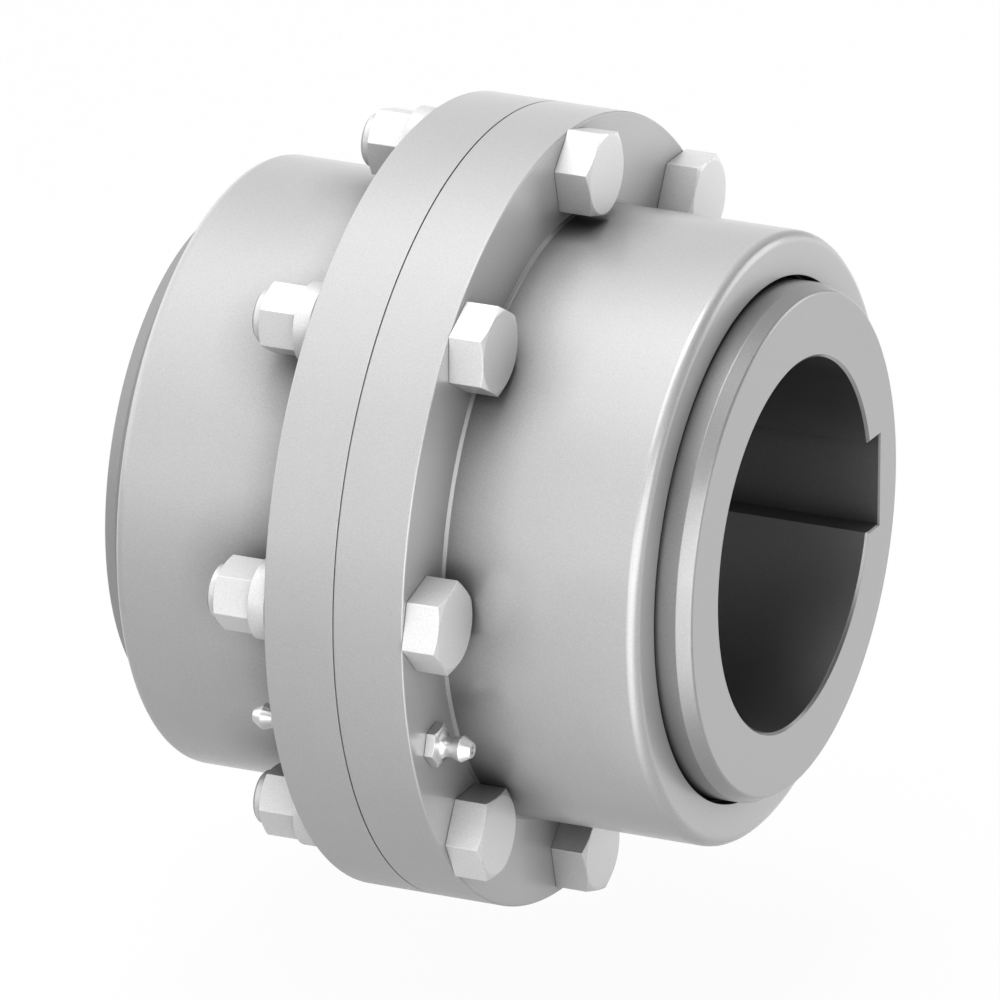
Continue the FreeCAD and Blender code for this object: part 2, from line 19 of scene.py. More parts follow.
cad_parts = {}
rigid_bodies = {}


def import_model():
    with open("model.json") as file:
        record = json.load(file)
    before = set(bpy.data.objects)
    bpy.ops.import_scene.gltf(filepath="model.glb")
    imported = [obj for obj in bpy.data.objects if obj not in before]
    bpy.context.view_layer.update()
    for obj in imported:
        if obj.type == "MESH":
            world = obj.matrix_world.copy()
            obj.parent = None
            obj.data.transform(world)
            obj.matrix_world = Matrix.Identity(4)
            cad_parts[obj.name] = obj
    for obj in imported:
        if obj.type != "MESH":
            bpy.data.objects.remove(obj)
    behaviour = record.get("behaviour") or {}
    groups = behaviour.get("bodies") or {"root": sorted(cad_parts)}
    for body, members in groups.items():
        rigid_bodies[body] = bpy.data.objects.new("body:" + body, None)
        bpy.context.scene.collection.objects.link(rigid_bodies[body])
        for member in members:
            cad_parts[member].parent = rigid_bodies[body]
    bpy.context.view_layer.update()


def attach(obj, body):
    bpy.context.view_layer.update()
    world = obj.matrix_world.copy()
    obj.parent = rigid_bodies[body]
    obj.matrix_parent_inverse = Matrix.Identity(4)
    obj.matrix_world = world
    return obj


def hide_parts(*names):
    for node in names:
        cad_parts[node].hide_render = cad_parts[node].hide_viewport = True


LOG = logging.getLogger("gear_coupling")
MM = 0.001
TAU = 2.0 * math.pi
Pair = tuple[float, float]
Point = tuple[float, float, float]
Ring = list[Point]
Socket = bpy.types.NodeSocket


class Side(Enum):
    """The two halves of the coupling. The value is the direction of the half along the shaft axis."""

    DRIVING = -1
    DRIVEN = 1

    @property
    def word(self) -> str:
        """The half's name, as it stands in the names of nodes and bodies."""
        return self.name.lower()


class Slot(Enum):
    """The material slots of the record."""

    HUB = "hub_steel"
    SLEEVE = "sleeve_steel"
    BOLT = "bolt_steel"
    WASHER = "washer_steel"
    NUT = "nut_steel"
    NIPPLE = "nipple_steel"
    BALL = "ball_steel"
    PLUG = "plug_steel"
    SEAL = "seal_rubber"
    GASKET = "gasket_fibre"


@dataclass(frozen=True)
class Flange:
    """What the flanges share with everything that is fitted to them."""

    face: float = 21.9
    bolts: int = 8
    bolt_circle: float = 104.5
    bolt_hole: float = 8.1
    port_circle: float = 104.0
    plug_angle: float = 22.5
    nipple_angle: float = 202.5


@dataclass(frozen=True)
class Gear:
    """What the hubs' teeth share with the sleeves' teeth."""

    teeth: int = 40
    pitch: float = 80.0


FLANGE = Flange()
GEAR = Gear()


# Shaders


@dataclass(frozen=True)
class Value:
    """A number that varies over a surface, usable in a Python expression."""

    graph: Graph
    socket: Socket

    def __add__(self, other: Value | float) -> Value:
        """This value plus another."""
        return self.graph.math("ADD", self, other)

    __radd__ = __add__

    def __sub__(self, other: Value | float) -> Value:
        """This value less another."""
        return self.graph.math("SUBTRACT", self, other)

    def __rsub__(self, other: float) -> Value:
        """A number less this value."""
        return self.graph.math("SUBTRACT", other, self)

    def __mul__(self, other: Value | float) -> Value:
        """This value times another."""
        return self.graph.math("MULTIPLY", self, other)

    __rmul__ = __mul__

    def __pow__(self, power: float) -> Value:
        """This value to a power."""
        return self.graph.math("POWER", self, power)

    def clamped(self) -> Value:
        """This value, kept between 0 and 1."""
        return self.graph.math("MINIMUM", self.graph.math("MAXIMUM", self, 0.0), 1.0)


class Graph:
    """The node tree of a material or of the world."""

    def __init__(self, tree: bpy.types.NodeTree) -> None:
        """Empties the tree."""
        self.tree = tree
        tree.nodes.clear()

    def node(self, kind: str, sockets: Mapping[Any, Any] | None = None, **settings: Any) -> bpy.types.Node:
        """Adds a node.

        Args:
            kind: The node's type.
            sockets: What goes into its inputs, by name or number: a Value, a socket, or a plain value.
            settings: Its properties, set before its sockets.

        Returns:
            The node.
        """
        made = self.tree.nodes.new(kind)
        for name, setting in settings.items():
            setattr(made, name, setting)
        for name, content in (sockets or {}).items():
            entry = made.inputs[name]
            if isinstance(content, Value):
                self.tree.links.new(content.socket, entry)
            elif isinstance(content, Socket):
                self.tree.links.new(content, entry)
            else:
                entry.default_value = content
        return made

    def value(self, node: bpy.types.Node, output: str | int = 0) -> Value:
        """One of a node's outputs as a value."""
        return Value(self, node.outputs[output])

    def math(self, operation: str, *operands: Value | float) -> Value:
        """The result of a Math node."""
        made = self.node("ShaderNodeMath", dict(enumerate(operands)), operation=operation)
        return self.value(made)

    def place(self, axes: str = "Object") -> tuple[Value, Value, Value]:
        """Where the surface is, in metres.

        Args:
            axes: Object for the piece's own axes, or Generated for the way in which the world is seen.

        Returns:
            The place along X, Y and Z.
        """
        where = self.node("ShaderNodeTexCoord").outputs[axes]
        split = self.node("ShaderNodeSeparateXYZ", {0: where})
        return self.value(split, 0), self.value(split, 1), self.value(split, 2)

    def vector(self, x: Value | float, y: Value | float, z: Value | float) -> Socket:
        """A vector made of three values."""
        return self.node("ShaderNodeCombineXYZ", {0: x, 1: y, 2: z}).outputs[0]

    def noise(self, where: Socket, waves: float, detail: float) -> Value:
        """Noise between 0 and 1 at a place, with so many waves to a metre and so many finer layers."""
        sockets = {"Vector": where, "Scale": waves, "Detail": detail}
        return self.value(self.node("ShaderNodeTexNoise", sockets, noise_dimensions="3D"))

    def openness(self, reach: float, samples: int = 6) -> Value:
        """How open a point is to what lies within reach: 1 in the open, less in corners and gaps."""
        made = self.node("ShaderNodeAmbientOcclusion", {"Distance": reach}, samples=samples)
        return self.value(made, "AO")

    def blend(self, factor: Value, low: float, high: float) -> Socket:
        """A grey between two, by a factor."""
        sockets = {0: factor, 6: (low, low, low, 1.0), 7: (high, high, high, 1.0)}
        return self.node("ShaderNodeMix", sockets, data_type="RGBA").outputs[2]

    def times(self, colour: Socket, factor: Value) -> Socket:
        """A colour darkened by a factor."""
        sockets = {0: 1.0, 6: colour, 7: self.vector(factor, factor, factor)}
        return self.node("ShaderNodeMix", sockets, data_type="RGBA", blend_type="MULTIPLY").outputs[2]

    def bump(self, height: Value, strength: float, distance: float) -> Socket:
        """A normal that follows fine relief."""
        sockets = {"Strength": strength, "Distance": distance, "Height": height}
        return self.node("ShaderNodeBump", sockets).outputs[0]

    def mixed(self, factor: Value, first: bpy.types.Node, second: bpy.types.Node) -> Socket:
        """A shader between two, by a factor."""
        sockets = {0: factor, 1: first.outputs[0], 2: second.outputs[0]}
        return self.node("ShaderNodeMixShader", sockets).outputs[0]


def new_material(name: str) -> tuple[bpy.types.Material, Graph]:
    """A new material without nodes.

    Args:
        name: Its name.

    Returns:
        The material and its graph.
    """
    made = bpy.data.materials.new(name)
    made.use_nodes = True
    return made, Graph(made.node_tree)


@dataclass(frozen=True)
class Finish:
    """What a surface is made of. Its grey lies between dark and light."""

    name: str
    dark: float
    light: float
    roughness: float

    def material(self) -> bpy.types.Material:
        """Builds the material, once.

        Returns:
            The material.
        """
        made = bpy.data.materials.get(self.name)
        if not made:
            made, graph = new_material(self.name)
            shader = graph.node("ShaderNodeBsdfPrincipled", self.sockets(graph))
            graph.node("ShaderNodeOutputMaterial", {"Surface": shader.outputs[0]})
        return made

    def sockets(self, graph: Graph) -> dict[str, Any]:
        """What goes into the shader's inputs, by name."""
        raise NotImplementedError


@dataclass(frozen=True)
class Steel(Finish):
    """Machined steel: a satin metal with fine grain and faint marks of the lathe, darkened by painted shade
    in corners and gaps.
    """

    metallic: float = 1.0
    grain: float = 0.5
    turning: float = 0.25
    coat: float = 1.0
    coat_roughness: float = 0.2
    coat_index: float = 1.7
    # Painted shade: ambient occlusion within reach, raised to this power and kept above the floor below,
    # darkens base colour and coat.
    film: float = 1.5
    film_floor: float = 0.12
    reach: float = 0.022
    speckle: float = 0.3
    grain_waves: float = 2600.0
    cloud_waves: float = 28.0
    mark_waves: float = 1900.0
    cloud_share: float = 0.6
    grain_share: float = 0.25
    mark_share: float = 0.15
    cloud_gloss: float = 0.08
    grain_gloss: float = 0.06
    relief: float = 0.25
    relief_height: float = 0.00004

    def sockets(self, graph: Graph) -> dict[str, Any]:
        """What goes into the shader's inputs.

        Args:
            graph: The material's nodes.

        Returns:
            The inputs, by name.
        """
        x, y, z = graph.place()
        body = graph.vector(x, y, z)
        grain = graph.noise(body, self.grain_waves, 1.0)
        cloud = graph.noise(body, self.cloud_waves, 3.0)
        marks = graph.noise(graph.vector((x * x + y * y) ** 0.5, z, 0.0), self.mark_waves, 1.0)
        tone = (self.cloud_share * cloud + self.grain_share * grain + self.mark_share * marks).clamped()
        # Painted shade: occlusion darkens the colour and thins the coat in corners, gaps and beside
        # neighbouring parts.
        painted_shade_factor = self.film_floor + (1.0 - self.film_floor) * graph.openness(self.reach) ** self.film
        speckle_and_painted_shade = painted_shade_factor * (1.0 + self.speckle * (grain - 0.5))
        gloss = self.cloud_gloss * (cloud - 0.5) + self.grain_gloss * (grain - 0.5)
        height = self.grain * grain + self.turning * marks
        return {
            "Base Color": graph.times(graph.blend(tone, self.dark, self.light), speckle_and_painted_shade),
            "Metallic": self.metallic,
            "Roughness": self.roughness + gloss,
            "Coat Weight": self.coat * painted_shade_factor,
            "Coat Roughness": self.coat_roughness,
            "Coat IOR": self.coat_index,
            "Normal": graph.bump(height, self.relief, self.relief_height),
        }


@dataclass(frozen=True)
class Soft(Finish):
    """Rubber or jointing: dark and dull, with a fine leathery grain."""

    grain_waves: float = 1400.0
    cloud_waves: float = 60.0
    grain_share: float = 0.6
    cloud_share: float = 0.4
    grain_gloss: float = 0.1
    relief: float = 0.3
    relief_height: float = 0.00005

    def sockets(self, graph: Graph) -> dict[str, Any]:
        """What goes into the shader's inputs.

        Args:
            graph: The material's nodes.

        Returns:
            The inputs, by name.
        """
        body = graph.vector(*graph.place())
        grain = graph.noise(body, self.grain_waves, 3.0)
        cloud = graph.noise(body, self.cloud_waves, 2.0)
        tone = (self.grain_share * grain + self.cloud_share * cloud).clamped()
        return {
            "Base Color": graph.blend(tone, self.dark, self.light),
            "Roughness": self.roughness + self.grain_gloss * (grain - 0.5),
            "Normal": graph.bump(grain, self.relief, self.relief_height),
        }


SLEEVE_STEEL = Steel("satin_turned_steel", 0.46, 0.535, 0.56, metallic=0.8)
# A copy of the sleeve steel with weaker painted corner shade, for faces across the axis.
FACED_LESS_SHADED_STEEL = replace(SLEEVE_STEEL, name="satin_faced_steel", film=0.45)
HUB_STEEL = Steel("hub_turned_steel", 0.33, 0.385, 0.5, metallic=0.8)
# A darker, duller copy of the hub steel for the driving hub; its darker grey is painted shade.
DULL_SHADED_HUB_STEEL = Steel("dull_hub_steel", 0.24, 0.28, 0.5, metallic=0.2, coat=0.1, film=0.3)
# Darker steel for the bore and keyway: painted shade inside the hub.
BORE_STEEL = Steel("oiled_bore_steel", 0.21, 0.26, 0.46)
BOLT_STEEL = Steel("satin_bolt_steel", 0.79, 0.89, 0.5, metallic=0.8, turning=0.0, film=0.75, reach=0.045)
NUT_STEEL = replace(BOLT_STEEL, name="satin_nut_steel", dark=0.72, light=0.81)
# A dark copy of the bolt steel for the collar's bevel: painted shade for the dark surroundings it reflects.
SHADED_COLLAR_STEEL = replace(BOLT_STEEL, name="collar_rim_steel", dark=0.2, light=0.26)
NIPPLE_STEEL = Steel("plated_nipple_steel", 0.84, 0.90, 0.38, grain=0.2, turning=0.1, film=0.8, speckle=0.1)
BALL_STEEL = Steel("polished_ball_steel", 0.80, 0.86, 0.12, grain=0.0, turning=0.0, speckle=0.0)
SEAL_RUBBER = Soft("black_seal_rubber", 0.018, 0.032, 0.62)
GASKET_FIBRE = Soft("grey_jointing", 0.26, 0.34, 0.8, grain_waves=2200.0)


# Shapes


@dataclass(frozen=True)
class Corner:
    """A corner of a turned outline: its places along and out from the axis, and its rounding, in mm."""

    along: float
    out: float
    rounding: float = 0.0


def rounded(*corners: Corner, closed: bool = True, steps: int = 4) -> list[Pair]:
    """Rounds the corners of an outline.

    Args:
        corners: The outline's corners in order.
        closed: Whether the last corner joins the first.
        steps: How many edges each rounding has.

    Returns:
        The outline's points, along and out.
    """
    points: list[Pair] = []
    for i, corner in enumerate(corners):
        here = Vector((corner.along, corner.out))
        if corner.rounding <= 0.0 or (not closed and i in (0, len(corners) - 1)):
            points.append((here.x, here.y))
            continue
        before, after = corners[i - 1], corners[(i + 1) % len(corners)]
        back = (Vector((before.along, before.out)) - here).normalized()
        ahead = (Vector((after.along, after.out)) - here).normalized()
        half = back.angle(ahead) / 2.0
        centre = here + (back + ahead).normalized() * corner.rounding / math.sin(half)
        first = here + back * corner.rounding / math.tan(half) - centre
        sweep = first.angle_signed(here + ahead * corner.rounding / math.tan(half) - centre)
        for k in range(steps + 1):
            turn = -sweep * k / steps
            c, s = math.cos(turn), math.sin(turn)
            points.append((centre.x + first.x * c - first.y * s, centre.y + first.x * s + first.y * c))
    return points


def lies_across(normal: Vector, least: float = 0.95) -> bool:
    """Whether a face with this normal lies across the piece's own axis."""
    return abs(normal.z) > least


def even_angles(count: int) -> list[float]:
    """Evenly spaced turns round a circle, in radians."""
    return [TAU * k / count for k in range(count)]


def turned_rings(outline: Iterable[Pair], angles: Sequence[float]) -> list[Ring]:
    """The ring that each point of an outline, along and out, sweeps as it turns about the Z axis."""
    return [[(out * math.cos(a), out * math.sin(a), along) for a in angles] for along, out in outline]


def drill_rings(outline: Iterable[Pair], circle: float, turn: float, facets: int = 56) -> list[Ring]:
    """The rings of a drill that stands beside the shaft axis.

    Args:
        outline: Its outline, along the shaft and out from its own axis.
        circle: From the shaft axis to its own.
        turn: Round the shaft, in radians.
        facets: How many sides it has.

    Returns:
        The rings.
    """
    x, y = circle * math.cos(turn), circle * math.sin(turn)
    rings = turned_rings(outline, even_angles(facets))
    return [[(px + x, py + y, along) for px, py, along in ring] for ring in rings]


def cone(height: float, start: float, degrees: float) -> Callable[[float], float]:
    """The height by distance out of a cone, such as a nut's bevel, that falls outward from its start."""
    tangent = math.tan(math.radians(degrees))
    return lambda out: height - (out - start) * tangent


@dataclass
class Blank:
    """Points and faces of a piece in its own axes, in mm."""

    points: list[Point] = field(default_factory=list)
    faces: list[tuple[int, ...]] = field(default_factory=list)

    def skin(self, rings: Sequence[Ring], looped: bool = False) -> Blank:
        """Joins rings of equally many points with a skin.

        Args:
            rings: The rings, in order.
            looped: Joins the last ring to the first; otherwise both ends are capped.

        Returns:
            This blank.
        """
        start, count = len(self.points), len(rings[0])
        for ring in rings:
            self.points.extend(ring)
        pairs = len(rings) if looped else len(rings) - 1
        for j in range(pairs):
            low, high = start + j * count, start + ((j + 1) % len(rings)) * count
            for k in range(count):
                after = (k + 1) % count
                self.faces.append((low + k, low + after, high + after, high + k))
        if not looped:
            last = start + pairs * count
            self.faces.append(tuple(start + k for k in reversed(range(count))))
            self.faces.append(tuple(last + k for k in range(count)))
        return self

    def mesh(self, name: str) -> bpy.types.Mesh:
        """Makes a mesh of the blank.

        Args:
            name: The mesh's name.

        Returns:
            The mesh, in metres.
        """
        made = bpy.data.meshes.new(name)
        made.from_pydata([tuple(c * MM for c in point) for point in self.points], [], self.faces)
        made.update()
        return made


def turned(outline: Iterable[Pair], facets: int) -> Blank:
    """A ring turned from a closed outline, whose points lie along and out."""
    return Blank().skin(turned_rings(outline, even_angles(facets)), looped=True)


def mirrored(mesh: bpy.types.Mesh, name: str) -> bpy.types.Mesh:
    """A copy of a mesh as seen in its own XY plane.

    Args:
        mesh: The mesh.
        name: The copy's name.

    Returns:
        The copy.
    """
    made = mesh.copy()
    made.name = name
    made.transform(Matrix.Scale(-1.0, 4, Vector((0.0, 0.0, 1.0))))
    made.flip_normals()
    return made


def outward_matrix(side: Side, along: float = 0.0, out: float = 0.0, degrees: float = 0.0) -> Matrix:
    """Where a piece stands on the coupling.

    Args:
        side: The half; the piece's own Z points away from the flanges.
        along: From the parting plane, in mm.
        out: From the shaft axis, in mm.
        degrees: Round the shaft, from +Y towards +Z. The piece's own X points this way out.

    Returns:
        The piece's matrix, in metres.
    """
    turn = math.radians(degrees)
    x_axis = Vector((0.0, math.cos(turn), math.sin(turn)))
    z_axis = Vector((float(side.value), 0.0, 0.0))
    made = Matrix((x_axis, z_axis.cross(x_axis), z_axis)).transposed().to_4x4()
    made.translation = z_axis * along * MM + x_axis * out * MM
    return made


def linked(name: str, data: bpy.types.ID) -> bpy.types.Object:
    """Links something new to the scene.

    Args:
        name: Its name.
        data: Its mesh, lamp or camera.

    Returns:
        The object.
    """
    made = bpy.data.objects.new(name, data)
    bpy.context.scene.collection.objects.link(made)
    return made


@dataclass
class Workshop:
    """Makes pieces from blanks, cuts them, dresses them and sets them on the frame."""

    sharp_degrees: float = 34.0
    made: list[bpy.types.Object] = field(default_factory=list)

    def cut(self, blank: bpy.types.Mesh, tool: bpy.types.Mesh) -> bpy.types.Mesh:
        """Cuts one mesh from another.

        Args:
            blank: The mesh to cut.
            tool: What is cut away.

        Returns:
            What is left of the blank.
        """
        piece, cutter = linked("blank", blank), linked("cutter", tool)
        modifier = piece.modifiers.new("cut", "BOOLEAN")
        modifier.operation, modifier.solver, modifier.object = "DIFFERENCE", "EXACT", cutter
        bpy.context.view_layer.update()
        graph = bpy.context.evaluated_depsgraph_get()
        left = bpy.data.meshes.new_from_object(piece.evaluated_get(graph))
        for thing in (piece, cutter):
            bpy.data.objects.remove(thing)
        return left

    def piece(
        self,
        node: str,
        how: str,
        mesh: bpy.types.Mesh,
        matrix: Matrix,
        slot: Slot,
        finishes: Sequence[Finish],
        choose: Callable[[Vector, Vector], int] | None = None,
        body: str = "sleeves",
    ) -> None:
        """Sets a finished piece on the frame in the place of its node.

        Args:
            node: The node it stands for.
            how: How it was made, which ends its name.
            mesh: Its mesh, in its own axes.
            matrix: Where it stands.
            slot: The record's slot for the piece; not used.
            finishes: Its finishes.
            choose: Gives the number of a face's finish from the face's middle and normal.
            body: The body it rides on.
        """
        made = linked(f"{node}_{how}", mesh)
        made.matrix_world = matrix
        mesh.materials.clear()
        for finish in finishes:
            mesh.materials.append(finish.material())
        for face in mesh.polygons:
            face.use_smooth = True
            face.material_index = choose(face.center, face.normal) if choose else 0
        mesh.set_sharp_from_angle(angle=math.radians(self.sharp_degrees))
        weights = made.modifiers.new("weights", "WEIGHTED_NORMAL")
        weights.keep_sharp = True
        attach(made, body)
        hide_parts(node)
        self.made.append(made)
        LOG.info("%s: %d faces, rides on %s", made.name, len(mesh.polygons), body)


@dataclass
class Hubs:
    """The two hubs, bored and keyed, each with a ring of crowned teeth."""

    start: float = 2.5
    end: float = 93.1
    bore: float = 55.0
    bore_bevel: float = 0.8
    barrel: float = 76.15
    bevel_length: float = 4.3
    bevel_depth: float = 2.005
    bevel_rounds: Pair = (1.1, 0.7)
    bore_round: float = 0.2
    inner_bevel: float = 0.6
    ring: Pair = (5.0, 33.0)
    ring_steps: int = 10
    tip: float = 83.2
    root: float = 76.8
    crown: float = 220.0
    flank: float = 20.0
    space: float = 3.2416
    tool_past: float = 1.5
    tool_rise: float = 1.0
    tool_steps: int = 14
    key_half: float = 14.0
    key_floor: float = 61.4
    key_inside: float = 40.0
    key_flare: float = 0.5
    # Within this radius the hub takes the darker bore steel, painted shade.
    oiled: float = 63.9
    facets: int = 320

    def tool(self) -> Blank:
        """The cutter's path between all teeth.

        Returns:
            One curved bar for each space.
        """
        blank = Blank()
        first, last = self.ring
        middle = (first + last) / 2.0
        reach = math.asin(((last - first) / 2.0 + self.tool_past) / self.crown)
        lean = math.tan(math.radians(self.flank))
        high = self.tip - self.root + self.tool_rise
        narrow = self.space - (GEAR.pitch - self.root) * lean
        wide = self.space + (high - GEAR.pitch + self.root) * lean
        section = [(0.0, -narrow), (high, -wide), (high, wide), (0.0, narrow)]
        for turn in even_angles(GEAR.teeth):
            c, s = math.cos(turn), math.sin(turn)
            rings: list[Ring] = []
            for k in range(self.tool_steps + 1):
                swing = reach * (2.0 * k / self.tool_steps - 1.0)
                ring: Ring = []
                for rise, aside in section:
                    radius = self.crown + rise
                    out = self.root - self.crown + radius * math.cos(swing)
                    along = middle + radius * math.sin(swing)
                    ring.append((out * c - aside * s, out * s + aside * c, along))
                rings.append(ring)
            blank.skin(rings)
        return blank

    def blank(self) -> Blank:
        """The hub as turned, before its teeth and keyway are cut.

        Returns:
            The blank.
        """
        first, last = self.ring
        outline = rounded(
            Corner(self.start, self.bore + self.bore_bevel),
            Corner(self.start + self.bore_bevel, self.bore, self.bore_round),
            Corner(self.end - self.bore_bevel, self.bore, self.bore_round),
            Corner(self.end, self.bore + self.bore_bevel, self.bore_round),
            Corner(self.end, self.barrel - self.bevel_depth, self.bevel_rounds[0]),
            Corner(self.end - self.bevel_length, self.barrel, self.bevel_rounds[1]),
            Corner(last, self.barrel),
            closed=False,
        )
        for k in range(self.ring_steps + 1):
            along = (last - first) / 2.0 * (1.0 - 2.0 * k / self.ring_steps)
            outline.append(((first + last) / 2.0 + along, math.sqrt(self.tip**2 - along**2)))
        outline += [
            (first, self.barrel),
            (self.start + self.inner_bevel, self.barrel),
            (self.start, self.barrel - self.inner_bevel),
        ]
        return turned(outline, self.facets)

    def keyway(self) -> Blank:
        """The bar that cuts the keyway, flared a little at the hub's ends.

        Returns:
            The bar.
        """
        rings: list[Ring] = []
        flare, low = self.key_flare, self.key_inside
        for along, spread in (
            (self.start - flare, 2.0 * flare),
            (self.start + flare, 0.0),
            (self.end - flare, 0.0),
            (self.end + flare, 2.0 * flare),
        ):
            half, high = self.key_half + spread, self.key_floor + spread
            section = [(low, -half), (high, -half), (high, half), (low, half)]
            rings.append([(x, y, along) for x, y in section])
        return Blank().skin(rings)

    def build(self, shop: Workshop) -> None:
        """Makes both hubs.

        Args:
            shop: Where they are made.
        """
        mesh = shop.cut(self.blank().mesh("hub"), self.tool().mesh("tooth_spaces"))
        mesh = shop.cut(mesh, self.keyway().mesh("keyway"))

        def finish(middle: Vector, normal: Vector) -> int:
            """The bore, its bevels and the keyway take a darker steel, painted shade inside the hub, and the
            rest is satin.
            """
            inside = math.hypot(middle.x, middle.y) < self.oiled * MM
            return int(inside and not lies_across(normal))

        place = outward_matrix(Side.DRIVEN)
        for side in Side:
            shape = mesh if side is Side.DRIVEN else mirrored(mesh, "hub_driving")
            name = f"{side.word}_hub"
            # The driving hub takes the darker copy of the hub steel, painted shade.
            steels = [HUB_STEEL if side is Side.DRIVEN else DULL_SHADED_HUB_STEEL, BORE_STEEL]
            shop.piece(name, "turned", shape, place, Slot.HUB, steels, finish, body=name)


@dataclass
class Sleeves:
    """The two flanged sleeves, toothed inside and grooved for their seals."""

    parting: float = 0.2
    end: float = 82.7
    rim: float = 117.0
    rim_round: float = 0.55
    barrel: float = 90.3
    fillet: float = 0.9
    fillet_round: float = 0.35
    parting_round: float = 0.12
    end_round: float = 3.4
    inner_round: float = 0.3
    chamber: float = 83.9
    tooth_tip: float = 77.6
    tooth_root: float = 83.5
    teeth_span: Pair = (2.0, 36.0)
    slope: Pair = (58.7, 63.7)
    slope_rounds: Pair = (1.0, 0.5)
    mouth: float = 77.4
    mouth_round: float = 0.25
    groove: Pair = (72.4, 78.1)
    groove_floor: float = 82.1
    groove_round: float = 0.2
    flank: float = 15.5
    space: float = 3.1916
    tool_before: float = 1.0
    tool_past: float = 4.0
    port_hole: float = 5.0
    port_depth: float = 12.0
    hole_bevel: float = 0.4
    drill_past: float = 0.6
    passage_hole: float = 2.0
    passage_start: float = 4.0
    facets: int = 360

    def blank(self) -> Blank:
        """The sleeve as turned, before its teeth and holes are cut.

        Returns:
            The blank.
        """
        first, last = self.teeth_span
        outline = rounded(
            Corner(self.parting, self.chamber, self.inner_round),
            Corner(first, self.chamber),
            Corner(first, self.tooth_tip, self.inner_round),
            Corner(last, self.tooth_tip, self.inner_round),
            Corner(last, self.chamber),
            Corner(self.slope[0], self.chamber, self.slope_rounds[0]),
            Corner(self.slope[1], self.mouth, self.slope_rounds[1]),
            Corner(self.groove[0], self.mouth, self.groove_round),
            Corner(self.groove[0], self.groove_floor, self.groove_round),
            Corner(self.groove[1], self.groove_floor, self.groove_round),
            Corner(self.groove[1], self.mouth, self.groove_round),
            Corner(self.end, self.mouth, self.mouth_round),
            Corner(self.end, self.barrel, self.end_round),
            Corner(FLANGE.face + self.fillet, self.barrel, self.fillet_round),
            Corner(FLANGE.face, self.barrel + self.fillet, self.fillet_round),
            Corner(FLANGE.face, self.rim, self.rim_round),
            Corner(self.parting, self.rim, self.parting_round),
            steps=5,
        )
        return turned(outline, self.facets)

    def tooth_spaces(self) -> Blank:
        """The straight bars that cut the spaces between the teeth.

        Returns:
            One bar for each space.
        """
        blank = Blank()
        lean = math.tan(math.radians(self.flank))
        below = self.tooth_tip - self.tool_before
        wide = self.space + (GEAR.pitch - below) * lean
        narrow = self.space - (self.tooth_root - GEAR.pitch) * lean
        section = [(below, -wide), (self.tooth_root, -narrow), (self.tooth_root, narrow), (below, wide)]
        ends = (self.teeth_span[0] - self.tool_before, self.teeth_span[1] + self.tool_past)
        for tooth in range(GEAR.teeth):
            turn = TAU * (tooth + 0.5) / GEAR.teeth
            c, s = math.cos(turn), math.sin(turn)
            blank.skin([
                [(out * c - aside * s, out * s + aside * c, along) for out, aside in section]
                for along in ends
            ])
        return blank

    def hole(self, radius: float, start: float) -> list[Pair]:
        """The outline of a drill that starts inside and opens at the flange's face with a small bevel."""
        face, bevel, past = FLANGE.face, self.hole_bevel, self.drill_past
        return [(start, radius), (face - bevel, radius), (face + past, radius + (bevel + past))]

    def passage(self, turn: float) -> list[Ring]:
        """The slanted drill for the way by which grease runs from a port to the teeth.

        Args:
            turn: Round the shaft, in radians.

        Returns:
            The drill's rings.
        """
        radial = Vector((math.cos(turn), math.sin(turn), 0.0))
        floor = FLANGE.face - self.port_depth
        start = radial * (self.tooth_root - self.tool_before) + Vector((0.0, 0.0, self.passage_start))
        finish = radial * FLANGE.port_circle + Vector((0.0, 0.0, floor + self.passage_hole))
        side = Vector((-math.sin(turn), math.cos(turn), 0.0))
        up = (finish - start).normalized().cross(side)
        spokes = [(side * math.cos(a) + up * math.sin(a)) * self.passage_hole for a in even_angles(24)]
        return [[tuple(centre + spoke) for spoke in spokes] for centre in (start, finish)]

    def holes(self) -> Blank:
        """Everything that is drilled into the flange.

        Returns:
            The drills.
        """
        blank = Blank()
        bolt_hole = self.hole(FLANGE.bolt_hole, -self.tool_before)
        port = self.hole(self.port_hole, FLANGE.face - self.port_depth)
        for turn in even_angles(FLANGE.bolts):
            blank.skin(drill_rings(bolt_hole, FLANGE.bolt_circle, turn))
        for turn in (math.radians(FLANGE.plug_angle), math.radians(FLANGE.nipple_angle)):
            blank.skin(drill_rings(port, FLANGE.port_circle, turn))
            blank.skin(self.passage(turn))
        return blank

    def build(self, shop: Workshop) -> None:
        """Makes both sleeves.

        Args:
            shop: Where they are made.
        """
        mesh = shop.cut(self.blank().mesh("sleeve"), self.tooth_spaces().mesh("sleeve_spaces"))
        mesh = shop.cut(mesh, self.holes().mesh("sleeve_holes"))

        def finish(middle: Vector, normal: Vector) -> int:
            """The faces across the axis get weaker painted shade in their corners than the round surfaces.
            """
            return int(lies_across(normal))

        place, steels = outward_matrix(Side.DRIVEN), [SLEEVE_STEEL, FACED_LESS_SHADED_STEEL]
        for side in Side:
            shape = mesh if side is Side.DRIVEN else mirrored(mesh, "sleeve_driving")
            shop.piece(f"{side.word}_sleeve", "turned", shape, place, Slot.SLEEVE, steels, finish)


